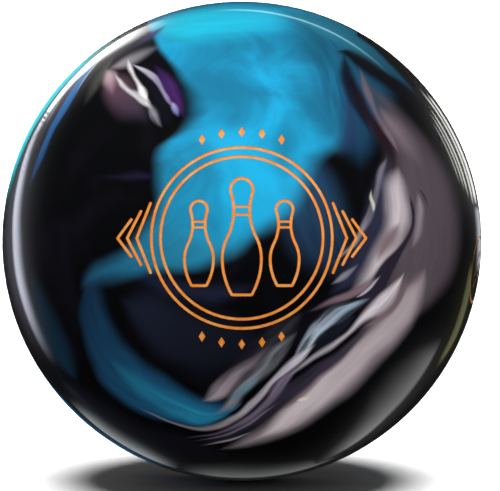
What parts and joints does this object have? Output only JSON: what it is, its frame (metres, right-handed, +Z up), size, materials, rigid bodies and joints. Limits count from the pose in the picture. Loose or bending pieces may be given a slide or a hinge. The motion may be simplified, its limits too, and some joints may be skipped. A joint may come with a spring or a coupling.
{
  "type": "bowling ball",
  "caption": "Undrilled bowling ball: marbled pearl resin shell over a filler core and a symmetric weight block, with paint-filled engraved figures and a locator plug.",
  "frame": {"origin": "centre of the ball", "axes": "+Z up, -Y out of the decorated front, +X to the right of the front seen from outside"},
  "size_m": [0.217, 0.217, 0.217],
  "materials": {
    "shell_resin": "polished pearl urethane resin",
    "filler": "cast",
    "block_resin": "cast, turned",
    "plug_resin": "polished flush",
    "mark_paint": "enamel filled"
  },
  "bodies": {
    "root": {"coverstock": "shell_resin", "outer_core": "filler", "weight_block": "block_resin", "locator_plug": "plug_resin", "front_ring_paint": "mark_paint", "front_pins_paint": "mark_paint", "front_chevrons_paint": "mark_paint", "front_diamonds_paint": "mark_paint", "side_ring_paint": "mark_paint", "side_arrows_paint": "mark_paint", "gravity_mark_paint": "mark_paint"}
  },
  "joints": []
}
